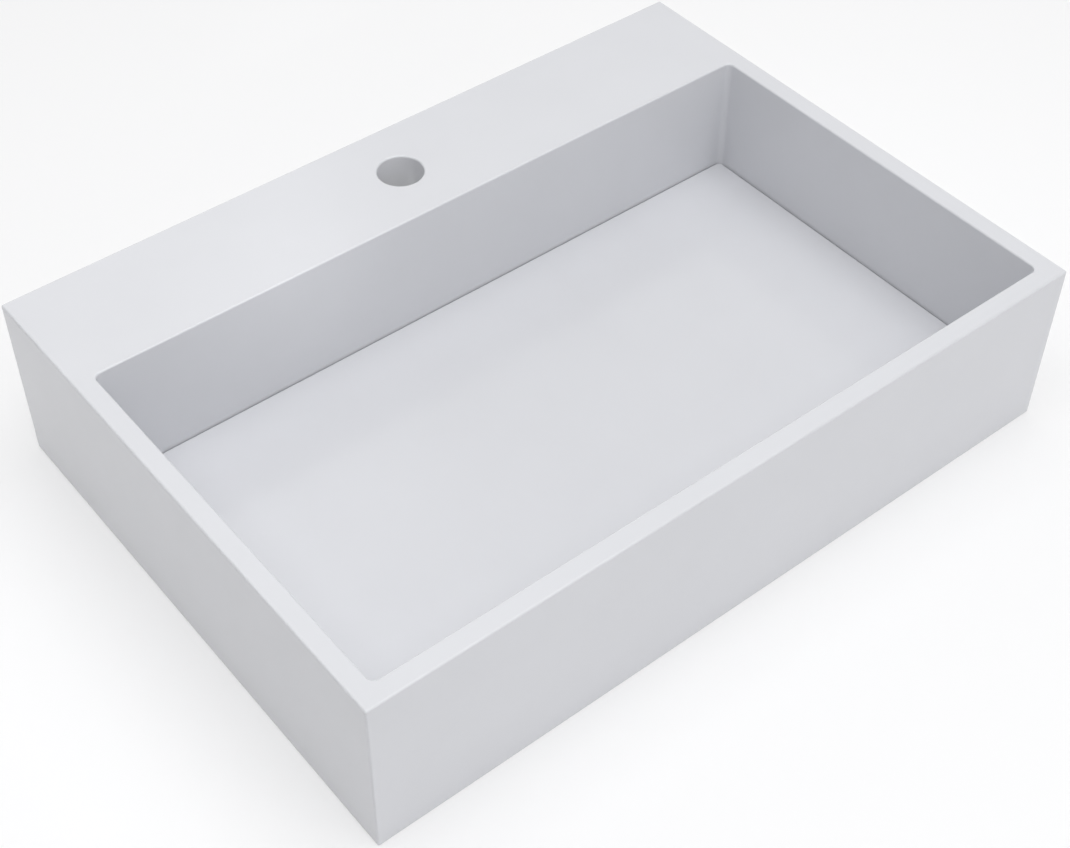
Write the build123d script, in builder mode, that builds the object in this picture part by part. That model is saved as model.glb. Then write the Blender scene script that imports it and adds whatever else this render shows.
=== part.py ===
from build123d import *
import os

# Countertop basin of cast stone resin, with a loose slab that hides its drain.
# The origin is the middle of the footprint, on the counter. +X is to the user's right,
# +Y is towards the wall behind and +Z is up. All sizes are in millimetres.

# The casting
basin_width = 600.0
basin_depth = 430.0
basin_height = 140.0
rim_width = 15.0
ledge_width = 100.0
ledge_thickness = 15.0
rear_wall = 15.0
bowl_rear_wall = 15.0
outer_corner_radius = 1.5
rim_edge_radius = 1.5
foot_edge_break = 1.0
bowl_corner_radius = 5.0
hollow_corner_radius = 10.0

# The bowl's floor falls from its edges to a level square around the drain
floor_underside = 8.0
floor_thickness = 12.0
floor_fall = 7.0
floor_cove_radius = 4.0
drain_square_margin = 9.5
drain_square_radius = 20.0

# The hole for the tap, and the pad under the ledge that it goes through
tap_hole_diameter = 35.0
tap_hole_setback = 50.0
tap_pad_width = 75.0
tap_pad_drop = 20.0
tap_pad_edge_radius = 3.0

# The slab over the drain, its pads and the rests that are cast for them
cover_gap = 0.8
cover_front_gap = 15.0
cover_thickness = 10.0
cover_corner_step = 2.0
cover_edge_radius = 0.5
pad_diameter = 16.0
pad_thickness = 4.0
pad_recess = 1.0
pad_clearance = 0.2
pad_edge_break = 0.5
pad_inset = 40.0
rest_rise = 2.0
rest_margin = 3.0
rest_edge_radius = 1.0

# The waste, whose thread is a G 1 1/4
thread_diameter = 41.9
thread_length = 50.0
thread_chamfer = 1.0
thread_clearance = 0.05
waste_wall = 4.0
drain_hole_clearance = 1.5
flange_lip = 10.5
flange_thickness = 3.0
flange_dish = 0.8
flange_edge_radius = 0.8
flange_seat_clearance = 1.0

# The strainer, the crossbar under it and its screw
grid_seat_width = 2.2
grid_thickness = 1.5
grid_clearance = 0.2
grid_hole_diameter = 4.5
grid_hole_margin = 1.2
grid_rim_width = 2.3
inner_ring_count = 6
outer_ring_count = 12
hub_diameter = 12.0
hub_height = 10.0
arm_thickness = 3.0
arm_count = 3
screw_diameter = 5.0
screw_length = 14.0
screw_hole_clearance = 0.25
screw_head_diameter = 9.5
screw_head_height = 2.6
screw_head_radius = 1.2
screw_point_chamfer = 0.6
screw_slot_width = 1.2
screw_slot_depth = 1.3

# The gaskets, washer and nut that clamp the waste in the floor
gasket_clearance = 0.3
flange_seal_thickness = 2.0
flange_seal_inset = 0.5
under_seal_thickness = 4.0
under_seal_width = 8.5
slip_washer_thickness = 2.0
slip_washer_width = 8.5
nut_wall = 7.0
nut_thickness = 9.0
nut_edge_break = 0.8

# The tailpiece, screwed up into the waste
tail_diameter = 32.0
tail_wall = 1.5
tail_free_length = 45.0
tail_socket_wall = 2.4
tail_collar_length = 12.0
tail_end_break = 0.4

# Heights, each from the piece that carries it
floor_low = floor_underside + floor_thickness
floor_high = floor_low + floor_fall
rest_height = floor_high + rest_rise
cover_underside = rest_height + pad_thickness - pad_recess
flange_underside = floor_low - flange_thickness
flange_seat_height = flange_underside - flange_seal_thickness
flange_dish_height = floor_low - flange_dish
grid_seat_height = flange_dish_height - grid_thickness
hub_underside = grid_seat_height - hub_height
under_seal_underside = floor_underside - under_seal_thickness
washer_underside = under_seal_underside - slip_washer_thickness
waste_bottom = flange_underside - thread_length
tail_socket_top = waste_bottom + tail_collar_length
tail_bottom = waste_bottom - tail_free_length
ledge_underside = basin_height - ledge_thickness
tap_pad_underside = ledge_underside - tap_pad_drop

# Plan sizes
bowl_width = basin_width - 2 * rim_width
bowl_depth = basin_depth - rim_width - ledge_width
bowl_centre_y = (ledge_width - rim_width) / -2
hollow_depth = ledge_width - rear_wall - bowl_rear_wall
hollow_centre_y = basin_depth / 2 - rear_wall - hollow_depth / 2
tap_hole_y = basin_depth / 2 - tap_hole_setback
cover_width = bowl_width - 2 * cover_gap
cover_depth = bowl_depth - cover_gap - cover_front_gap
cover_centre_y = bowl_centre_y + (cover_front_gap - cover_gap) / 2
cover_corner_radius = bowl_corner_radius - cover_corner_step
pad_spacing_x = cover_width - 2 * pad_inset
pad_spacing_y = cover_depth - 2 * pad_inset
rest_radius = pad_diameter / 2 + rest_margin

# Radii about the drain's axis
thread_radius = thread_diameter / 2
waste_bore_radius = thread_radius - waste_wall
drain_hole_radius = thread_radius + drain_hole_clearance
flange_radius = thread_radius + flange_lip
flange_seat_radius = flange_radius + flange_seat_clearance
drain_square = 2 * (flange_seat_radius + drain_square_margin)
grid_seat_radius = waste_bore_radius + grid_seat_width
grid_radius = grid_seat_radius - grid_clearance
outer_ring_radius = grid_radius - grid_rim_width - grid_hole_diameter / 2
inner_ring_radius = (screw_head_diameter + grid_hole_diameter) / 2 + grid_hole_margin
gasket_bore_radius = thread_radius + gasket_clearance
nut_radius = thread_radius + nut_wall
tail_socket_radius = thread_radius - tail_socket_wall
tail_collar_radius = tail_socket_radius - thread_clearance
tail_radius = tail_diameter / 2

# Places that several pieces share
bowl_centre = (0, bowl_centre_y)
cover_centre = (0, cover_centre_y)
drain_axis = Axis((0, bowl_centre_y, 0), (0, 0, 1))
drain_section = Plane(origin=(0, bowl_centre_y, 0), x_dir=(1, 0, 0), z_dir=(0, -1, 0))

os.makedirs("parts", exist_ok=True)

# The basin is one casting: a bowl inside thin rims, with a hollow tap ledge behind it
with BuildPart() as basin_body:
    with BuildSketch():
        Rectangle(basin_width, basin_depth)
    extrude(amount=basin_height)
    fillet(basin_body.edges().filter_by(Axis.Z), outer_corner_radius)

    # The bowl's straight walls, then the fall of its floor
    with BuildSketch(Plane.XY.offset(floor_high)):
        with Locations(bowl_centre):
            RectangleRounded(bowl_width, bowl_depth, bowl_corner_radius)
    extrude(amount=basin_height - floor_high, mode=Mode.SUBTRACT)
    with BuildSketch(Plane.XY.offset(floor_high)):
        with Locations(bowl_centre):
            RectangleRounded(bowl_width, bowl_depth, bowl_corner_radius)
    with BuildSketch(Plane.XY.offset(floor_low)):
        with Locations(bowl_centre):
            RectangleRounded(drain_square, drain_square, drain_square_radius)
    loft(ruled=True, mode=Mode.SUBTRACT)
    wall_foot = basin_body.edges().filter_by_position(Axis.Z, floor_high, floor_high)
    fillet(wall_foot, floor_cove_radius)

    # Four round rests that carry the slab's pads level above the falling floor
    with BuildSketch(Plane.XY.offset(floor_underside)):
        with Locations(cover_centre):
            with GridLocations(pad_spacing_x, pad_spacing_y, 2, 2):
                Circle(rest_radius)
    extrude(amount=rest_height - floor_underside)
    rest_rims = basin_body.edges().filter_by_position(Axis.Z, rest_height, rest_height)
    fillet(rest_rims, rest_edge_radius)

    # The shallow space under the floor, and the hollow under the ledge for the tap's fixings
    with BuildSketch():
        with Locations(bowl_centre):
            RectangleRounded(bowl_width, bowl_depth, bowl_corner_radius)
    extrude(amount=floor_underside, mode=Mode.SUBTRACT)
    with BuildSketch():
        with Locations((0, hollow_centre_y)):
            RectangleRounded(bowl_width, hollow_depth, hollow_corner_radius)
    extrude(amount=ledge_underside, mode=Mode.SUBTRACT)

    # The ledge is thicker around the tap hole, where the tap's nut clamps it
    with BuildSketch(Plane.XY.offset(ledge_underside)):
        with Locations((0, hollow_centre_y)):
            Rectangle(tap_pad_width, hollow_depth)
    extrude(amount=-tap_pad_drop)
    tap_pad_edges = basin_body.edges().filter_by_position(
        Axis.Z, tap_pad_underside, tap_pad_underside
    )
    fillet(tap_pad_edges.filter_by(Axis.Y), tap_pad_edge_radius)

    # The seat and hole for the waste, and the tap hole
    with Locations((0, bowl_centre_y, floor_low)):
        CounterBoreHole(
            radius=drain_hole_radius,
            counter_bore_radius=flange_seat_radius,
            counter_bore_depth=floor_low - flange_seat_height,
            depth=floor_thickness,
        )
    with Locations((0, tap_hole_y, basin_height)):
        Hole(radius=tap_hole_diameter / 2, depth=ledge_thickness + tap_pad_drop)
    fillet(basin_body.edges().group_by(Axis.Z)[-1], rim_edge_radius)
    chamfer(basin_body.edges().group_by(Axis.Z)[0], foot_edge_break)
basin_body.part.label = "basin_body"
export_step(basin_body.part, "parts/basin_body.step")

# The slab lies loose in the bowl. The slot that it leaves at the front lets the water under it
# and takes the fingers that lift it.
with BuildPart() as drain_cover:
    with BuildSketch(Plane.XY.offset(cover_underside)):
        with Locations(cover_centre):
            RectangleRounded(cover_width, cover_depth, cover_corner_radius)
    extrude(amount=cover_thickness)
    fillet(drain_cover.edges().group_by(Axis.Z)[-1], cover_edge_radius)
    with BuildSketch(Plane.XY.offset(cover_underside)):
        with Locations(cover_centre):
            with GridLocations(pad_spacing_x, pad_spacing_y, 2, 2):
                Circle(pad_diameter / 2 + pad_clearance)
    extrude(amount=pad_recess, mode=Mode.SUBTRACT)
drain_cover.part.label = "drain_cover"
export_step(drain_cover.part, "parts/drain_cover.step")

# Four soft pads, glued in the slab's recesses, stand on the cast rests
with BuildPart() as cover_feet:
    with BuildSketch(Plane.XY.offset(rest_height)):
        with Locations(cover_centre):
            with GridLocations(pad_spacing_x, pad_spacing_y, 2, 2):
                Circle(pad_diameter / 2)
    extrude(amount=pad_thickness)
    chamfer(cover_feet.edges().group_by(Axis.Z)[0], pad_edge_break)
cover_feet.part.label = "cover_feet"
export_step(cover_feet.part, "parts/cover_feet.step")

# The waste is turned in one piece: a dished flange on a threaded tube, with a crossbar
with BuildPart() as waste_body:
    with BuildSketch(drain_section):
        with BuildLine():
            Polyline(
                (tail_socket_radius, waste_bottom),
                (thread_radius - thread_chamfer, waste_bottom),
                (thread_radius, waste_bottom + thread_chamfer),
                (thread_radius, flange_underside),
                (flange_radius, flange_underside),
                (flange_radius, floor_low),
                (grid_seat_radius, flange_dish_height),
                (grid_seat_radius, grid_seat_height),
                (waste_bore_radius, grid_seat_height),
                (waste_bore_radius, tail_socket_top),
                (tail_socket_radius, tail_socket_top),
                close=True,
            )
        make_face()
    revolve(axis=drain_axis)
    fillet(waste_body.edges().group_by(Axis.Z)[-1], flange_edge_radius)
    with BuildSketch(Plane.XY.offset(hub_underside)):
        with Locations(bowl_centre):
            Circle(hub_diameter / 2)
            arm_reach = (waste_bore_radius + thread_radius) / 2
            with PolarLocations(arm_reach / 2, arm_count, start_angle=90):
                Rectangle(arm_reach, arm_thickness)
    extrude(amount=hub_height)
    with Locations((0, bowl_centre_y, grid_seat_height)):
        Hole(radius=screw_diameter / 2 + thread_clearance, depth=hub_height)
waste_body.part.label = "waste_body"
export_step(waste_body.part, "parts/waste_body.step")

# The strainer is a punched disc that drops into the flange
with BuildPart() as waste_grid:
    with BuildSketch(Plane.XY.offset(grid_seat_height)):
        with Locations(bowl_centre):
            Circle(grid_radius)
            Circle(screw_diameter / 2 + screw_hole_clearance, mode=Mode.SUBTRACT)
            with PolarLocations(inner_ring_radius, inner_ring_count):
                Circle(grid_hole_diameter / 2, mode=Mode.SUBTRACT)
            with PolarLocations(outer_ring_radius, outer_ring_count):
                Circle(grid_hole_diameter / 2, mode=Mode.SUBTRACT)
    extrude(amount=grid_thickness)
waste_grid.part.label = "waste_grid"
export_step(waste_grid.part, "parts/waste_grid.step")

# The screw holds the strainer down on the crossbar
with BuildPart() as grid_screw:
    with BuildSketch(Plane.XY.offset(flange_dish_height)):
        with Locations(bowl_centre):
            Circle(screw_head_diameter / 2)
    extrude(amount=screw_head_height)
    fillet(grid_screw.edges().group_by(Axis.Z)[-1], screw_head_radius)
    with BuildSketch(Plane.XY.offset(flange_dish_height)):
        with Locations(bowl_centre):
            Circle(screw_diameter / 2)
    extrude(amount=-screw_length)
    chamfer(grid_screw.edges().group_by(Axis.Z)[0], screw_point_chamfer)
    with BuildSketch(Plane.XY.offset(flange_dish_height + screw_head_height)):
        with Locations(bowl_centre):
            Rectangle(screw_slot_width, screw_head_diameter)
    extrude(amount=-screw_slot_depth, mode=Mode.SUBTRACT)
grid_screw.part.label = "grid_screw"
export_step(grid_screw.part, "parts/grid_screw.step")

# A flat ring gasket lies between the flange and its seat in the bowl
with BuildPart() as flange_seal:
    with BuildSketch(Plane.XY.offset(flange_seat_height)):
        with Locations(bowl_centre):
            Circle(flange_radius - flange_seal_inset)
            Circle(gasket_bore_radius, mode=Mode.SUBTRACT)
    extrude(amount=flange_seal_thickness)
flange_seal.part.label = "flange_seal"
export_step(flange_seal.part, "parts/flange_seal.step")

# A thicker ring gasket seals under the floor
with BuildPart() as under_seal:
    with BuildSketch(Plane.XY.offset(under_seal_underside)):
        with Locations(bowl_centre):
            Circle(gasket_bore_radius + under_seal_width)
            Circle(gasket_bore_radius, mode=Mode.SUBTRACT)
    extrude(amount=under_seal_thickness)
under_seal.part.label = "under_seal"
export_step(under_seal.part, "parts/under_seal.step")

# The hard washer lets the nut turn without dragging the gasket
with BuildPart() as slip_washer:
    with BuildSketch(Plane.XY.offset(washer_underside)):
        with Locations(bowl_centre):
            Circle(gasket_bore_radius + slip_washer_width)
            Circle(gasket_bore_radius, mode=Mode.SUBTRACT)
    extrude(amount=slip_washer_thickness)
slip_washer.part.label = "slip_washer"
export_step(slip_washer.part, "parts/slip_washer.step")

# The hexagonal nut runs on the waste's thread and clamps the floor
with BuildPart() as lock_nut:
    with BuildSketch(Plane.XY.offset(washer_underside)):
        with Locations(bowl_centre):
            RegularPolygon(nut_radius, 6, major_radius=False)
            Circle(thread_radius + thread_clearance, mode=Mode.SUBTRACT)
    extrude(amount=-nut_thickness)
    chamfer(lock_nut.edges().group_by(Axis.Z)[0], nut_edge_break)
lock_nut.part.label = "lock_nut"
export_step(lock_nut.part, "parts/lock_nut.step")

# The tailpiece is a thin tube, and its collar screws into the waste from below
with BuildPart() as tailpiece:
    with BuildSketch(Plane.XY.offset(waste_bottom)):
        with Locations(bowl_centre):
            Circle(tail_collar_radius)
            Circle(tail_radius - tail_wall, mode=Mode.SUBTRACT)
    extrude(amount=tail_collar_length)
    with BuildSketch(Plane.XY.offset(waste_bottom)):
        with Locations(bowl_centre):
            Circle(tail_radius)
            Circle(tail_radius - tail_wall, mode=Mode.SUBTRACT)
    extrude(amount=-tail_free_length)
    chamfer(tailpiece.edges().group_by(Axis.Z)[0], tail_end_break)
tailpiece.part.label = "tailpiece"
export_step(tailpiece.part, "parts/tailpiece.step")
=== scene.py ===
import math
import bmesh
import bpy
from mathutils import Matrix, Vector


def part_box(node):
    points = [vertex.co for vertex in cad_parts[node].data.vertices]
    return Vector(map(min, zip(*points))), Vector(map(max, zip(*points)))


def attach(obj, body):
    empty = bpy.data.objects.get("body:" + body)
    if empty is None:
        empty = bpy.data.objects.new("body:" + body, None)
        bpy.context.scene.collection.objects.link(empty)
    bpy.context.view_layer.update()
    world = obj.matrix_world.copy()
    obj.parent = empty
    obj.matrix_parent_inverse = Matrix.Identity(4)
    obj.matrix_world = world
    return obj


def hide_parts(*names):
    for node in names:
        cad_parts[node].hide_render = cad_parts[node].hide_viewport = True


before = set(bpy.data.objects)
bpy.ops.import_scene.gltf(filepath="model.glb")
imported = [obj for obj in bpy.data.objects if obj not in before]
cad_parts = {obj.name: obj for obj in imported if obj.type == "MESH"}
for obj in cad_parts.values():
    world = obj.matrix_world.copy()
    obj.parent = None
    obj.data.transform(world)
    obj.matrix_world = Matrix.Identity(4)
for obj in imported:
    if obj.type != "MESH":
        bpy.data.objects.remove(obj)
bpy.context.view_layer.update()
scene = bpy.context.scene
mm = 0.001

# The camera stands where the photograph's did, high over the front left corner. The place and
# the three angles come from solving the basin's corners, and the lens from the same fit.
view_azimuth, view_elevation, view_roll = -39.365, 45.952, 0.683
eye = (-0.60779, -0.73603, 0.99137)
sensor_width, lens = 36.0, 62.145
camera = bpy.data.objects.new("camera", bpy.data.cameras.new("camera"))
scene.collection.objects.link(camera)
camera.data.sensor_width = sensor_width
camera.data.lens = lens
camera.matrix_world = (
    Matrix.Translation(eye)
    @ Matrix.Rotation(math.radians(view_azimuth), 4, "Z")
    @ Matrix.Rotation(math.radians(90 - view_elevation), 4, "X")
    @ Matrix.Rotation(math.radians(view_roll), 4, "Z")
)
scene.camera = camera
scene.view_settings.view_transform = "Standard"


# The basin is one casting of stone-filled resin behind a white gel coat, which is sprayed into
# a polished mould first. The coat is smooth and a little glossy, with a faint waviness that
# only reflections show. The back of the casting, that faces the counter, has no coat.
def from_hex(code):
    """A linear colour from an sRGB hex code such as "e8eaee"."""
    parts = [int(code[i:i + 2], 16) / 255 for i in (0, 2, 4)]
    linear = [p / 12.92 if p <= 0.04045 else ((p + 0.055) / 1.055) ** 2.4 for p in parts]
    return (*linear, 1.0)


def add_node(tree, kind, inputs=(), **settings):
    """Adds one shader node. Each input is a plain value, or a socket that is linked to it."""
    made = tree.nodes.new("ShaderNode" + kind)
    for name, value in settings.items():
        setattr(made, name, value)
    for name, value in dict(inputs).items():
        if isinstance(value, bpy.types.NodeSocket):
            tree.links.new(value, made.inputs[name])
        else:
            made.inputs[name].default_value = value
    return made


def new_material(name):
    """An empty material of that name and its node tree."""
    material = bpy.data.materials.new(name)
    material.use_nodes = True
    material.node_tree.nodes.clear()
    return material, material.node_tree


coat_light, coat_shade = from_hex("d6d7db"), from_hex("d2d3d7")
bare_light, bare_shade = from_hex("d9d8d3"), from_hex("c6c4be")
mottle_size, gloss_patch_size = 60 * mm, 25 * mm
coat_smooth, coat_rough, bare_rough = 0.12, 0.18, 0.85
peel_size, peel_height = 4 * mm, 0.006 * mm
pour_wave_size, pour_pore_size, pour_height = 3 * mm, 2.2 * mm, 0.25 * mm
pore_reach, pore_drop = 0.35, -0.6

# the bare places: the hollow under the ledge and the recess under the floor, each by its half
# width, half depth and top, and the foot rim, but not the drilled wall of the tap hole
hollow_reach = Vector((285.3, 35.3, 125.2)) * mm
hollow_middle_y = 165 * mm
recess_reach = Vector((285.3, 157.8, 8.6)) * mm
recess_middle_y = -42.5 * mm
foot_height = 0.3 * mm
tap_wall_radius = 17.7 * mm

cast_resin, tree = new_material("gel_coated_cast_resin")
place = add_node(tree, "TexCoord").outputs["Object"]
xyz = add_node(tree, "SeparateXYZ", {"Vector": place})
across = add_node(tree, "Math", {0: xyz.outputs["X"]}, operation="ABSOLUTE")


def below(tree, value, limit):
    """1 where value is under the limit."""
    return add_node(tree, "Math", {0: value, 1: limit}, operation="LESS_THAN").outputs[0]


def inside(tree, middle_y, reach):
    """1 in the box under the casting that is centred on X = 0 and middle_y."""
    along = add_node(tree, "Math", {0: xyz.outputs["Y"], 1: middle_y}, operation="SUBTRACT")
    depth = add_node(tree, "Math", {0: along.outputs[0]}, operation="ABSOLUTE")
    flat = add_node(tree, "Math", {
        0: below(tree, across.outputs[0], reach.x), 1: below(tree, depth.outputs[0], reach.y),
    }, operation="MULTIPLY")
    return add_node(tree, "Math", {
        0: flat.outputs[0], 1: below(tree, xyz.outputs["Z"], reach.z),
    }, operation="MULTIPLY").outputs[0]


hollow_or_recess = add_node(tree, "Math", {
    0: inside(tree, hollow_middle_y, hollow_reach), 1: inside(tree, recess_middle_y, recess_reach),
}, operation="MAXIMUM")
underside = add_node(tree, "Math", {
    0: hollow_or_recess.outputs[0], 1: below(tree, xyz.outputs["Z"], foot_height),
}, operation="MAXIMUM").outputs[0]
flat_place = add_node(tree, "CombineXYZ", {"X": xyz.outputs["X"], "Y": xyz.outputs["Y"]})
from_tap = add_node(tree, "VectorMath", {
    0: flat_place.outputs["Vector"], 1: (0.0, hollow_middle_y, 0.0),
}, operation="DISTANCE")
drilled = below(tree, from_tap.outputs["Value"], tap_wall_radius)
bare = add_node(tree, "Math", {
    0: underside, 1: drilled,
}, operation="SUBTRACT", use_clamp=True).outputs[0]

mottle = add_node(tree, "TexNoise", {"Vector": place, "Scale": 1 / mottle_size, "Detail": 3.0})
coat_colour = add_node(tree, "Mix", {
    "Factor": mottle.outputs["Fac"], "A": coat_shade, "B": coat_light,
}, data_type="RGBA")
pour_wave = add_node(tree, "TexNoise", {
    "Vector": place, "Scale": 1 / pour_wave_size, "Detail": 4.0, "Roughness": 0.6,
})
pores = add_node(tree, "TexVoronoi", {"Vector": place, "Scale": 1 / pour_pore_size})
bare_colour = add_node(tree, "Mix", {
    "Factor": pour_wave.outputs["Fac"], "A": bare_shade, "B": bare_light,
}, data_type="RGBA")
colour = add_node(tree, "Mix", {
    "Factor": bare, "A": coat_colour.outputs["Result"], "B": bare_colour.outputs["Result"],
}, data_type="RGBA")

gloss_patch = add_node(tree, "TexNoise", {"Vector": place, "Scale": 1 / gloss_patch_size})
coat_roughness = add_node(tree, "MapRange", {
    "Value": gloss_patch.outputs["Fac"], "To Min": coat_smooth, "To Max": coat_rough,
})
roughness = add_node(tree, "Mix", {
    "Factor": bare, "A": coat_roughness.outputs["Result"], "B": bare_rough,
})
peel = add_node(tree, "TexNoise", {"Vector": place, "Scale": 1 / peel_size, "Detail": 1.0})
coat_relief = add_node(tree, "Bump", {
    "Height": peel.outputs["Fac"], "Distance": peel_height, "Strength": 1.0,
})
pore_depth = add_node(tree, "MapRange", {
    "Value": pores.outputs["Distance"], "From Max": pore_reach,
    "To Min": pore_drop, "To Max": 0.0,
})
pour_relief = add_node(tree, "Math", {
    0: pour_wave.outputs["Fac"], 1: pore_depth.outputs["Result"],
}, operation="ADD")
bare_relief = add_node(tree, "Bump", {
    "Height": pour_relief.outputs[0], "Distance": pour_height, "Strength": bare,
    "Normal": coat_relief.outputs["Normal"],
})
surface = add_node(tree, "BsdfPrincipled", {
    "Base Color": colour.outputs["Result"], "Roughness": roughness.outputs["Result"],
    "Normal": bare_relief.outputs["Normal"], "IOR": 1.5,
})
add_node(tree, "OutputMaterial", {"Surface": surface.outputs["BSDF"]})

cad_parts["basin_body"].data.materials[0] = cast_resin

# A flat ring gasket seals the waste's flange in its seat. It is punched from sheet EPDM, a
# rubber that is matt and nearly black, with a fine grain and a faint grey bloom.
drain_axis = Vector((0.0, -42.5))
gasket_bore, gasket_reach, gasket_foot, gasket_head, gasket_edge = 21.25, 30.95, 15, 17, 0.3
weld_distance = 0.001 * mm


def rounded(outline, steps=4):
    """The outline, with each corner given as (radius, height, reach) rounded over its reach."""
    made = []
    for i, (radius, height, *reach) in enumerate(outline):
        corner = Vector((radius, height))
        if not reach:
            made.append(tuple(corner))
            continue
        before, after = (Vector(outline[(i + step) % len(outline)][:2]) for step in (-1, 1))
        start = corner + (before - corner).normalized() * reach[0]
        end = corner + (after - corner).normalized() * reach[0]
        for s in (n / steps for n in range(steps + 1)):
            made.append(tuple(start.lerp(corner, s).lerp(corner.lerp(end, s), s)))
    return made


def flat_ring(bore, reach, foot, head, edge):
    """The outline of a flat ring with rounded edges."""
    corners = (bore, foot), (reach, foot), (reach, head), (bore, head)
    return rounded([(*corner, edge) for corner in corners])


def turned_mesh(outline_at, sides, centres=(drain_axis,), on_axis=False):
    """Turns an outline of (radius, height) in mm about each centre. outline_at gives the
    outline at an angle. It closes on itself, or else starts and ends on the axis."""
    corners, faces = [], []
    for centre in centres:
        first = len(corners)
        for n in range(sides):
            angle = 2 * math.pi * n / sides
            out = Vector((math.cos(angle), math.sin(angle)))
            outline = outline_at(angle)
            corners += [(*(centre + out * r) * mm, h * mm) for r, h in outline]
        rows = len(outline)
        for n in range(sides):
            here, there = (first + (n + step) % sides * rows for step in (0, 1))
            for i in range(rows - 1 if on_axis else rows):
                up = (i + 1) % rows
                faces.append((here + i, there + i, there + up, here + up))
    mesh = bpy.data.meshes.new("turned")
    mesh.from_pydata(corners, [], faces)
    return mesh


def cleaned(mesh):
    """The mesh with its double corners welded and its faces turned outwards."""
    work = bmesh.new()
    work.from_mesh(mesh)
    bmesh.ops.remove_doubles(work, verts=work.verts, dist=weld_distance)
    bmesh.ops.recalc_face_normals(work, faces=work.faces)
    work.to_mesh(mesh)
    work.free()
    return mesh


def add_piece(name, mesh, material, sharp_from=35):
    """The object of a mesh, cleaned and shaded smooth but for its sharp edges."""
    cleaned(mesh)
    mesh.shade_smooth()
    mesh.set_sharp_from_angle(angle=math.radians(sharp_from))
    mesh.materials.clear()
    mesh.materials.append(material)
    mesh.name = name
    piece = bpy.data.objects.new(name, mesh)
    scene.collection.objects.link(piece)
    return piece


rubber_light, rubber_shade = from_hex("2c2d2f"), from_hex("1d1e20")
rubber_smooth, rubber_rough = 0.58, 0.74
bloom_size, grain_size, grain_height = 6 * mm, 0.4 * mm, 0.012 * mm

rubber, tree = new_material("punched_epdm_rubber")
place = add_node(tree, "TexCoord").outputs["Object"]
bloom = add_node(tree, "TexNoise", {"Vector": place, "Scale": 1 / bloom_size, "Detail": 4.0})
bloom_colour = add_node(tree, "Mix", {
    "Factor": bloom.outputs["Fac"], "A": rubber_shade, "B": rubber_light,
}, data_type="RGBA")
bloom_roughness = add_node(tree, "MapRange", {
    "Value": bloom.outputs["Fac"], "To Min": rubber_smooth, "To Max": rubber_rough,
})
grain = add_node(tree, "TexNoise", {"Vector": place, "Scale": 1 / grain_size, "Detail": 2.0})
grain_relief = add_node(tree, "Bump", {"Height": grain.outputs["Fac"], "Distance": grain_height})
surface = add_node(tree, "BsdfPrincipled", {
    "Base Color": bloom_colour.outputs["Result"],
    "Roughness": bloom_roughness.outputs["Result"],
    "Normal": grain_relief.outputs["Normal"],
    "IOR": 1.5,
})
add_node(tree, "OutputMaterial", {"Surface": surface.outputs["BSDF"]})

gasket_outline = flat_ring(gasket_bore, gasket_reach, gasket_foot, gasket_head, gasket_edge)
gasket_mesh = turned_mesh(lambda angle: gasket_outline, sides=96)
piece = add_piece("flange_gasket", gasket_mesh, rubber)
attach(piece, "basin")
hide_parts("flange_seal")

# The waste is a brass casting, turned and threaded G 1 1/4 and then chromed: a dished flange
# on a tube, with a three-armed crossbar in its mouth. Chrome is bright and nearly mirror-like,
# with a faint haze left by the buffing wheel, and the thread is a true helix.
thread_pitch, thread_depth, thread_crest = 2.309, 1.479, 20.95
thread_foot, thread_head, lead_in_radius, rows_per_turn = -33.0, 11.5, 19.0, 10
tube_bore, socket_bore, socket_head = 16.95, 18.55, -21.0
flange_reach, flange_foot, flange_head, flange_edge, flange_crown = 31.45, 17.0, 20.0, 0.3, 1.1
dish_radius, dish_height = 25.0, 19.55
mouth_radius, mouth_foot, mouth_head, mouth_crown = 19.15, 17.7, 19.2, 0.4
mouth_corner, bore_corner = 0.15, 0.3


def thread_at(angle):
    """The outside of the threaded tube at an angle, from its foot up to the flange."""
    made = []
    count = round((flange_foot - thread_foot) / thread_pitch * rows_per_turn)
    for i in range(count + 1):
        height = thread_foot + (flange_foot - thread_foot) * i / count
        turn = height / thread_pitch - angle / (2 * math.pi)
        cut = thread_depth * (0.5 - 0.5 * math.cos(2 * math.pi * turn))
        run_out = min(max((thread_head + thread_pitch - height) / thread_pitch, 0.0), 1.0)
        lead_in = thread_crest - thread_depth + (height - thread_foot)
        made.append((min(thread_crest - cut * run_out, max(lead_in, lead_in_radius)), height))
    return made


flange = rounded([
    (thread_crest, flange_foot), (flange_reach, flange_foot, flange_edge),
    (flange_reach, flange_head, flange_crown), (dish_radius, dish_height),
    (mouth_radius, mouth_head, mouth_crown), (mouth_radius, mouth_foot, mouth_corner),
    (tube_bore, mouth_foot, bore_corner), (tube_bore, socket_head),
    (socket_bore, socket_head), (socket_bore, thread_foot),
])[1:]
tube_mesh = turned_mesh(lambda angle: thread_at(angle) + flange, sides=120)

# the crossbar, cast with the tube: a drilled hub on three arms
arms, hub_radius, hub_bore, arm_reach, arm_half = 3, 6.0, 2.55, 18.95, 1.5
hub_foot, hub_head, cast_edge = 7.7, 17.7, 0.3


def circle(radius, count, middle=(0.0, 0.0), start=0.0, turn=2 * math.pi):
    """Points along a circle in mm, or along the part of it that begins at start."""
    angles = (start + turn * n / count for n in range(count))
    return [(middle[0] + radius * math.cos(a), middle[1] + radius * math.sin(a)) for a in angles]


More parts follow.
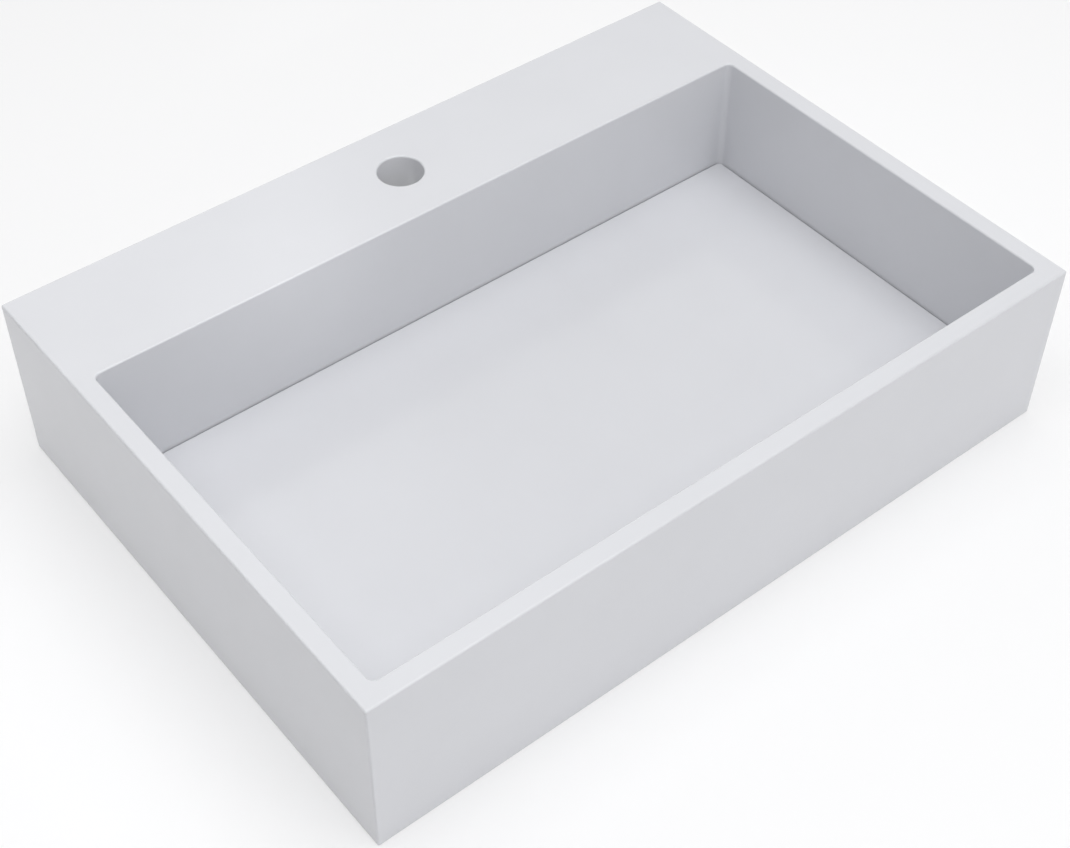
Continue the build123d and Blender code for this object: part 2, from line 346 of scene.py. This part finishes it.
def plate_mesh(outlines, foot, head, edge):
    """A plate about the drain's axis between two heights in mm. The first outline is its rim,
    the others are its holes, and every edge is rounded."""
    flat = bpy.data.curves.new("plate", "CURVE")
    flat.dimensions = "2D"
    flat.fill_mode = "BOTH"
    flat.extrude = ((head - foot) / 2 - edge) * mm
    flat.bevel_depth = edge * mm
    flat.bevel_resolution = 2
    flat.offset = -edge * mm
    for outline in outlines:
        spline = flat.splines.new("POLY")
        spline.points.add(len(outline) - 1)
        for point, (x, y) in zip(spline.points, outline):
            point.co = (x * mm, y * mm, 0.0, 1.0)
        spline.use_cyclic_u = True
    holder = bpy.data.objects.new("plate", flat)
    scene.collection.objects.link(holder)
    graph = bpy.context.evaluated_depsgraph_get()
    mesh = bpy.data.meshes.new_from_object(holder.evaluated_get(graph))
    bpy.data.objects.remove(holder)
    mesh.transform(Matrix.Translation((*drain_axis * mm, (foot + head) / 2 * mm)))
    return mesh


star = []
arm_step = 360 // arms
arm_angle = math.asin(arm_half / hub_radius)
hub_arc = math.radians(arm_step) - 2 * arm_angle
for start in (math.radians(90 + arm_step * n) for n in range(arms)):
    out = Vector((math.cos(start), math.sin(start)))
    side = Vector((-out.y, out.x)) * arm_half
    star += [tuple(out * arm_reach - side), tuple(out * arm_reach + side)]
    star += circle(hub_radius, count=10, start=start + arm_angle, turn=hub_arc)
crossbar_mesh = plate_mesh([star, circle(hub_bore, count=24)], hub_foot, hub_head, cast_edge)


def fused(*meshes):
    """The first mesh with the others fused into it."""
    parts = []
    for mesh in meshes:
        parts.append(bpy.data.objects.new("part", cleaned(mesh)))
        scene.collection.objects.link(parts[-1])
    for part in parts[1:]:
        fuse = parts[0].modifiers.new("fuse", "BOOLEAN")
        fuse.operation = "UNION"
        fuse.solver = "EXACT"
        fuse.object = part
    graph = bpy.context.evaluated_depsgraph_get()
    mesh = bpy.data.meshes.new_from_object(parts[0].evaluated_get(graph))
    for part in parts:
        bpy.data.objects.remove(part)
    return mesh


chrome_light, chrome_shade = from_hex("cfd0d1"), from_hex("c4c5c6")
chrome_smooth, chrome_rough, haze_low, haze_high = 0.05, 0.13, 0.3, 0.7
haze_size, plating_size, plating_height = 14 * mm, 2.5 * mm, 0.003 * mm

chrome, tree = new_material("chrome_plated_brass")
place = add_node(tree, "TexCoord").outputs["Object"]
haze = add_node(tree, "TexNoise", {"Vector": place, "Scale": 1 / haze_size, "Detail": 3.0})
chrome_colour = add_node(tree, "Mix", {
    "Factor": haze.outputs["Fac"], "A": chrome_shade, "B": chrome_light,
}, data_type="RGBA")
haze_roughness = add_node(tree, "MapRange", {
    "Value": haze.outputs["Fac"], "From Min": haze_low, "From Max": haze_high,
    "To Min": chrome_smooth, "To Max": chrome_rough,
})
plating = add_node(tree, "TexNoise", {"Vector": place, "Scale": 1 / plating_size})
plating_relief = add_node(tree, "Bump", {
    "Height": plating.outputs["Fac"], "Distance": plating_height,
})
surface = add_node(tree, "BsdfPrincipled", {
    "Base Color": chrome_colour.outputs["Result"],
    "Roughness": haze_roughness.outputs["Result"],
    "Normal": plating_relief.outputs["Normal"],
    "Metallic": 1.0,
})
add_node(tree, "OutputMaterial", {"Surface": surface.outputs["BSDF"]})

piece = add_piece("threaded_waste", fused(tube_mesh, crossbar_mesh), chrome)
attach(piece, "basin")
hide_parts("waste_body")

# A thicker ring of the same rubber seals the hole from below. The nut squeezes it against the
# underside of the bowl's floor, and its edges are moulded round.
ring_reach, ring_foot, ring_head, ring_edge = 29.75, 4, 8, 0.6
ring_outline = flat_ring(gasket_bore, ring_reach, ring_foot, ring_head, ring_edge)
ring_mesh = turned_mesh(lambda angle: ring_outline, sides=96)
piece = add_piece("floor_gasket", ring_mesh, rubber)
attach(piece, "basin")
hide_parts("under_seal")

# The slip washer is injection moulded in natural nylon, an ivory plastic that lets a little
# light in. Its surface has the fine even spark texture of the mould.
nylon_light, nylon_shade = from_hex("e9e4d5"), from_hex("dfd8c6")
nylon_smooth, nylon_rough = 0.38, 0.52
flow_size, spark_size, spark_height = 9 * mm, 0.5 * mm, 0.006 * mm

nylon, tree = new_material("moulded_natural_nylon")
place = add_node(tree, "TexCoord").outputs["Object"]
flow = add_node(tree, "TexNoise", {"Vector": place, "Scale": 1 / flow_size, "Detail": 2.0})
nylon_colour = add_node(tree, "Mix", {
    "Factor": flow.outputs["Fac"], "A": nylon_shade, "B": nylon_light,
}, data_type="RGBA")
spark = add_node(tree, "TexNoise", {"Vector": place, "Scale": 1 / spark_size})
spark_roughness = add_node(tree, "MapRange", {
    "Value": spark.outputs["Fac"], "To Min": nylon_smooth, "To Max": nylon_rough,
})
spark_relief = add_node(tree, "Bump", {"Height": spark.outputs["Fac"], "Distance": spark_height})
surface = add_node(tree, "BsdfPrincipled", {
    "Base Color": nylon_colour.outputs["Result"],
    "Roughness": spark_roughness.outputs["Result"],
    "Normal": spark_relief.outputs["Normal"],
    "IOR": 1.53,
    "Subsurface Weight": 0.15,
    "Subsurface Radius": (1.2 * mm, 1.0 * mm, 0.8 * mm),
    "Subsurface Scale": 1.0,
})
add_node(tree, "OutputMaterial", {"Surface": surface.outputs["BSDF"]})

washer_foot, washer_edge = 2, 0.25
washer_outline = flat_ring(gasket_bore, ring_reach, washer_foot, ring_foot, washer_edge)
washer_mesh = turned_mesh(lambda angle: washer_outline, sides=96)
piece = add_piece("nylon_washer", washer_mesh, nylon)
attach(piece, "basin")
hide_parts("slip_washer")

# The lock nut is cut from hexagon brass bar. Its corners are turned off at 30 degrees on both
# faces, and the faces keep the fine rings of the lathe. Their 0.15 mm feed is drawn at 0.5 mm.
flat_reach, nut_bore, nut_foot, nut_head = 27.95, 21.0, -7.0, 2.0
corner_slope = math.tan(math.radians(30))
corner_start, bore_chamfer = 26.9, 0.8
wave_period = 2 * math.pi / 20  # of Blender's wave pattern at a scale of 1
brass_light, brass_shade = from_hex("dcbf74"), from_hex("c6a45a")
brass_smooth, brass_rough = 0.24, 0.42
tarnish_size, feed, feed_height = 11 * mm, 0.5 * mm, 0.012 * mm


def nut_at(angle):
    """The nut's outline at an angle: its flats, cut back by a cone at each face."""
    from_flat = angle % (math.pi / 3) - math.pi / 6
    reach = flat_reach / math.cos(from_flat)
    drop = (reach - corner_start) * corner_slope
    return [
        (nut_bore + bore_chamfer, nut_foot), (corner_start, nut_foot), (reach, nut_foot + drop),
        (reach, nut_head - drop), (corner_start, nut_head), (nut_bore + bore_chamfer, nut_head),
        (nut_bore, nut_head - bore_chamfer), (nut_bore, nut_foot + bore_chamfer),
    ]


brass, tree = new_material("turned_bar_brass")
place = add_node(tree, "TexCoord").outputs["Object"]
tarnish = add_node(tree, "TexNoise", {"Vector": place, "Scale": 1 / tarnish_size, "Detail": 5.0})
brass_colour = add_node(tree, "Mix", {
    "Factor": tarnish.outputs["Fac"], "A": brass_shade, "B": brass_light,
}, data_type="RGBA")
tarnish_roughness = add_node(tree, "MapRange", {
    "Value": tarnish.outputs["Fac"], "To Min": brass_smooth, "To Max": brass_rough,
})
about_drain = add_node(tree, "VectorMath", {
    0: place, 1: (*drain_axis * mm, 0.0),
}, operation="SUBTRACT")
feed_rings = add_node(tree, "TexWave", {
    "Vector": about_drain.outputs["Vector"], "Scale": wave_period / feed,
    "Distortion": 0.4, "Detail": 1.0,
}, wave_type="RINGS", rings_direction="Z")
feed_relief = add_node(tree, "Bump", {
    "Height": feed_rings.outputs["Fac"], "Distance": feed_height,
})
surface = add_node(tree, "BsdfPrincipled", {
    "Base Color": brass_colour.outputs["Result"],
    "Roughness": tarnish_roughness.outputs["Result"],
    "Normal": feed_relief.outputs["Normal"],
    "Metallic": 1.0,
})
add_node(tree, "OutputMaterial", {"Surface": surface.outputs["BSDF"]})

nut_mesh = turned_mesh(nut_at, sides=180)
piece = add_piece("hexagon_lock_nut", nut_mesh, brass, sharp_from=20)
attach(piece, "basin")
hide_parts("lock_nut")

# The tailpiece is drawn brass tube, chromed, with a collar brazed on that screws up into the
# waste. Its free end is cut square and lightly rounded for the trap's sealing ring.
tail_bore, tail_radius, tail_foot, collar_radius = 14.5, 16.0, -78, 18.5
cut_edge, free_edge, braze_fillet, collar_edge = 0.3, 0.6, 0.8, 0.5
tail_outline = rounded([
    (tail_bore, tail_foot, cut_edge), (tail_radius, tail_foot, free_edge),
    (tail_radius, thread_foot, braze_fillet), (collar_radius, thread_foot, cut_edge),
    (collar_radius, socket_head, collar_edge), (tail_bore, socket_head, collar_edge),
])
tail_mesh = turned_mesh(lambda angle: tail_outline, sides=96)
piece = add_piece("chromed_tailpiece", tail_mesh, chrome)
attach(piece, "basin")
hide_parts("tailpiece")

# The strainer is punched from stainless steel sheet and tumbled, which rounds its edges. The
# sheet's rolled grain runs one way. Its lines, 0.05 mm apart, are drawn at 0.25 mm.
grid_reach, grid_edge = 18.95, 0.25
screw_hole, water_hole, hole_rings = 2.75, 2.25, ((8.2, 6), (14.4, 12))
steel_light, steel_shade = from_hex("c6c4c0"), from_hex("b3b1ad")
steel_smooth, steel_rough = 0.2, 0.38
grain_pitch, grain_length, steel_grain_height = 0.25 * mm, 12 * mm, 0.006 * mm

steel, tree = new_material("rolled_stainless_steel")
place = add_node(tree, "TexCoord").outputs["Object"]
along_grain = add_node(tree, "Mapping", {
    "Vector": place, "Scale": (1 / grain_length, 1 / grain_pitch, 1 / grain_length),
})
grain = add_node(tree, "TexNoise", {
    "Vector": along_grain.outputs["Vector"], "Scale": 1.0, "Detail": 3.0, "Roughness": 0.6,
})
steel_colour = add_node(tree, "Mix", {
    "Factor": grain.outputs["Fac"], "A": steel_shade, "B": steel_light,
}, data_type="RGBA")
grain_roughness = add_node(tree, "MapRange", {
    "Value": grain.outputs["Fac"], "To Min": steel_smooth, "To Max": steel_rough,
})
grain_relief = add_node(tree, "Bump", {
    "Height": grain.outputs["Fac"], "Distance": steel_grain_height,
})
surface = add_node(tree, "BsdfPrincipled", {
    "Base Color": steel_colour.outputs["Result"],
    "Roughness": grain_roughness.outputs["Result"],
    "Normal": grain_relief.outputs["Normal"],
    "Metallic": 1.0,
})
add_node(tree, "OutputMaterial", {"Surface": surface.outputs["BSDF"]})

grid_outlines = [circle(grid_reach, count=128), circle(screw_hole, count=32)]
for ring, holes in hole_rings:
    grid_outlines += [circle(water_hole, 32, middle) for middle in circle(ring, count=holes)]
grid_mesh = plate_mesh(grid_outlines, mouth_foot, mouth_head, grid_edge)
piece = add_piece("punched_strainer", grid_mesh, steel)
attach(piece, "basin")
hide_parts("waste_grid")

# A slotted cheese-head screw of turned stainless steel holds the strainer down on the crossbar.
# The lathe leaves fine rings on its head. Their feed of 0.1 mm is drawn at 0.4 mm.
turned_smooth, turned_rough = 0.18, 0.3
turning_feed, turning_height = 0.4 * mm, 0.008 * mm

turned_steel, tree = new_material("turned_stainless_steel")
place = add_node(tree, "TexCoord").outputs["Object"]
about_drain = add_node(tree, "VectorMath", {
    0: place, 1: (*drain_axis * mm, 0.0),
}, operation="SUBTRACT")
turning = add_node(tree, "TexWave", {
    "Vector": about_drain.outputs["Vector"], "Scale": wave_period / turning_feed,
    "Distortion": 0.3,
}, wave_type="RINGS", rings_direction="Z")
turned_colour = add_node(tree, "Mix", {
    "Factor": turning.outputs["Fac"], "A": steel_shade, "B": steel_light,
}, data_type="RGBA")
turned_roughness = add_node(tree, "MapRange", {
    "Value": turning.outputs["Fac"], "To Min": turned_smooth, "To Max": turned_rough,
})
turned_relief = add_node(tree, "Bump", {
    "Height": turning.outputs["Fac"], "Distance": turning_height,
})
surface = add_node(tree, "BsdfPrincipled", {
    "Base Color": turned_colour.outputs["Result"],
    "Roughness": turned_roughness.outputs["Result"],
    "Normal": turned_relief.outputs["Normal"],
    "Metallic": 1.0,
})
add_node(tree, "OutputMaterial", {"Surface": surface.outputs["BSDF"]})
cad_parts["grid_screw"].data.materials[0] = turned_steel

# The slab is cast like the basin, gel coat and all, and lies loose in it on four soft pads.
# They are moulded in clear silicone, milky with silica, domed below and glued in above.
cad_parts["drain_cover"].data.materials[0] = cast_resin
pad_radius, pad_foot, pad_head, pad_dome, pad_rim = 8.0, 29.0, 33.0, 1.6, 0.2
pad_across, pad_front, pad_back = 244.2, -145.0, 74.2
pad_middles = [Vector((x, y)) for x in (-pad_across, pad_across) for y in (pad_front, pad_back)]
silicone_light, silicone_shade = from_hex("e1e5e7"), from_hex("d3d8da")
silicone_smooth, silicone_rough = 0.25, 0.4
cloud_size, skin_size, skin_height = 3 * mm, 0.8 * mm, 0.004 * mm

silicone, tree = new_material("moulded_milky_silicone")
place = add_node(tree, "TexCoord").outputs["Object"]
cloud = add_node(tree, "TexNoise", {"Vector": place, "Scale": 1 / cloud_size, "Detail": 2.0})
silicone_colour = add_node(tree, "Mix", {
    "Factor": cloud.outputs["Fac"], "A": silicone_shade, "B": silicone_light,
}, data_type="RGBA")
cloud_roughness = add_node(tree, "MapRange", {
    "Value": cloud.outputs["Fac"], "To Min": silicone_smooth, "To Max": silicone_rough,
})
skin = add_node(tree, "TexNoise", {"Vector": place, "Scale": 1 / skin_size})
skin_relief = add_node(tree, "Bump", {"Height": skin.outputs["Fac"], "Distance": skin_height})
surface = add_node(tree, "BsdfPrincipled", {
    "Base Color": silicone_colour.outputs["Result"],
    "Roughness": cloud_roughness.outputs["Result"],
    "Normal": skin_relief.outputs["Normal"],
    "IOR": 1.41,
    "Subsurface Weight": 0.5,
    "Subsurface Radius": (2.0 * mm, 2.2 * mm, 2.4 * mm),
    "Subsurface Scale": 1.0,
})
add_node(tree, "OutputMaterial", {"Surface": surface.outputs["BSDF"]})

pad_outline = rounded([
    (0.0, pad_foot), (pad_radius, pad_foot, pad_dome), (pad_radius, pad_head, pad_rim),
    (0.0, pad_head),
], steps=6)
pad_mesh = turned_mesh(lambda angle: pad_outline, sides=64, centres=pad_middles, on_axis=True)
piece = add_piece("silicone_pads", pad_mesh, silicone)
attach(piece, "cover")
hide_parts("cover_feet")

# The floor stands for the counter top, cut out under the basin so that light comes up the tap
# hole, as it does in the photograph. It is matt white paint that the camera sees partly washed
# out, more so far from the basin, which keeps the shadow soft and the background pale.
floor_reach, cut_inset = 12.0, 1.5 * mm
basin_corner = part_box("basin_body")[1]
inner_x, inner_y = basin_corner.x - cut_inset, basin_corner.y - cut_inset
floor_white, floor_roughness = from_hex("f6f6f7"), 0.9
wash_from, wash_to, washed_near, washed_far = 0.6, 3.0, 0.4, 0.95
corners = [
    (sx * x, sy * y, 0.0)
    for x, y in ((floor_reach, floor_reach), (inner_x, inner_y))
    for sx, sy in ((-1, -1), (1, -1), (1, 1), (-1, 1))
]
floor_mesh = bpy.data.meshes.new("counter_top")
sides = [(i, (i + 1) % 4, (i + 1) % 4 + 4, i + 4) for i in range(4)]
floor_mesh.from_pydata(corners, [], sides)
floor = bpy.data.objects.new("counter_top", floor_mesh)
scene.collection.objects.link(floor)


def seen_directly(tree):
    """1 for the rays of the camera and of reflections and clear materials, and 0 for light."""
    rays = add_node(tree, "LightPath").outputs
    mirrored = add_node(tree, "Math", {
        0: rays["Is Glossy Ray"], 1: rays["Is Transmission Ray"],
    }, operation="MAXIMUM")
    return add_node(tree, "Math", {
        0: rays["Is Camera Ray"], 1: mirrored.outputs[0],
    }, operation="MAXIMUM").outputs[0]


floor_paint, tree = new_material("matt_white_counter_paint")
paint = add_node(tree, "BsdfPrincipled", {
    "Base Color": floor_white, "Roughness": floor_roughness,
})
wash = add_node(tree, "Emission", {"Color": from_hex("ffffff"), "Strength": 1.0})
from_basin = add_node(tree, "VectorMath", {
    0: add_node(tree, "TexCoord").outputs["Object"],
}, operation="LENGTH")
washed_out = add_node(tree, "MapRange", {
    "Value": from_basin.outputs["Value"], "From Min": wash_from, "From Max": wash_to,
    "To Min": washed_near, "To Max": washed_far,
}, interpolation_type="SMOOTHSTEP")
wash_share = add_node(tree, "Math", {
    0: seen_directly(tree), 1: washed_out.outputs["Result"],
}, operation="MULTIPLY")
washed = add_node(tree, "MixShader", {
    0: wash_share.outputs[0], 1: paint.outputs["BSDF"], 2: wash.outputs["Emission"],
})
behind = add_node(tree, "NewGeometry").outputs["Backfacing"]
one_sided = add_node(tree, "MixShader", {
    0: behind, 1: washed.outputs["Shader"], 2: add_node(tree, "BsdfTransparent").outputs["BSDF"],
})
add_node(tree, "OutputMaterial", {"Surface": one_sided.outputs["Shader"]})
floor_mesh.materials.append(floor_paint)

# The light is that of a pale room, brighter in front, behind and below than at its sides, with
# soft boxes overhead, low in front, behind and near the left side, and one narrow lamp that
# puts the photograph's patch of light on the bowl's back wall. The room itself looks white.
room_light = {(0, 1, 0): 0.92, (0, -1, 0): 0.75, (0, 0, -1): 1.4}
soft_boxes = {
    "overhead": (2.0, 22.6, (0.0, -0.74, 2.28)),
    "overhead_right": (1.6, 11.8, (0.74, 0.0, 2.28)),
    "low_front": (1.6, 5.0, (0.0, -2.22, 0.9)),
    "behind": (1.8, 4.2, (0.0, 1.61, 1.78)),
    "near_left": (0.8, 4.2, (-0.6, 0.0, 1.4)),
}
patch_middle = Vector((-0.13, 0.115, 0.14))
patch_lamp_from = Vector((-1.425, -1.82, 1.03))
patch_lamp_angle, patch_lamp_power, patch_lamp_radius = 3.2, 34.0, 0.05
world = bpy.data.worlds.new("pale_room")
scene.world = world
world.use_nodes = True
tree = world.node_tree
tree.nodes.clear()
direction = add_node(tree, "TexCoord").outputs["Generated"]
light = 0.0
for side, level in room_light.items():
    facing = add_node(tree, "VectorMath", {0: direction, 1: side}, operation="DOT_PRODUCT")
    lit = add_node(tree, "Math", {0: facing.outputs["Value"], 1: 0.0}, operation="MAXIMUM")
    light = add_node(tree, "Math", {
        0: lit.outputs[0], 1: level, 2: light,
    }, operation="MULTIPLY_ADD").outputs[0]
strength = add_node(tree, "Mix", {"Factor": seen_directly(tree), "A": light, "B": 1.0})
room = add_node(tree, "Background", {
    "Color": from_hex("ffffff"), "Strength": strength.outputs["Result"],
})
add_node(tree, "OutputWorld", {"Surface": room.outputs["Background"]})

for name, (side, power, place) in soft_boxes.items():
    lamp = bpy.data.lights.new("soft_box_" + name, "AREA")
    lamp.size = side
    lamp.energy = power
    soft_box = bpy.data.objects.new("soft_box_" + name, lamp)
    scene.collection.objects.link(soft_box)
    soft_box.location = place
    soft_box.rotation_euler = (-soft_box.location).to_track_quat("-Z", "Y").to_euler()

lamp = bpy.data.lights.new("narrow_lamp", "SPOT")
lamp.energy = patch_lamp_power
lamp.spot_size = math.radians(patch_lamp_angle)
lamp.spot_blend = 1.0
lamp.shadow_soft_size = patch_lamp_radius
narrow_lamp = bpy.data.objects.new("narrow_lamp", lamp)
scene.collection.objects.link(narrow_lamp)
narrow_lamp.location = patch_lamp_from
narrow_lamp.rotation_euler = (patch_middle - patch_lamp_from).to_track_quat("-Z", "Y").to_euler()
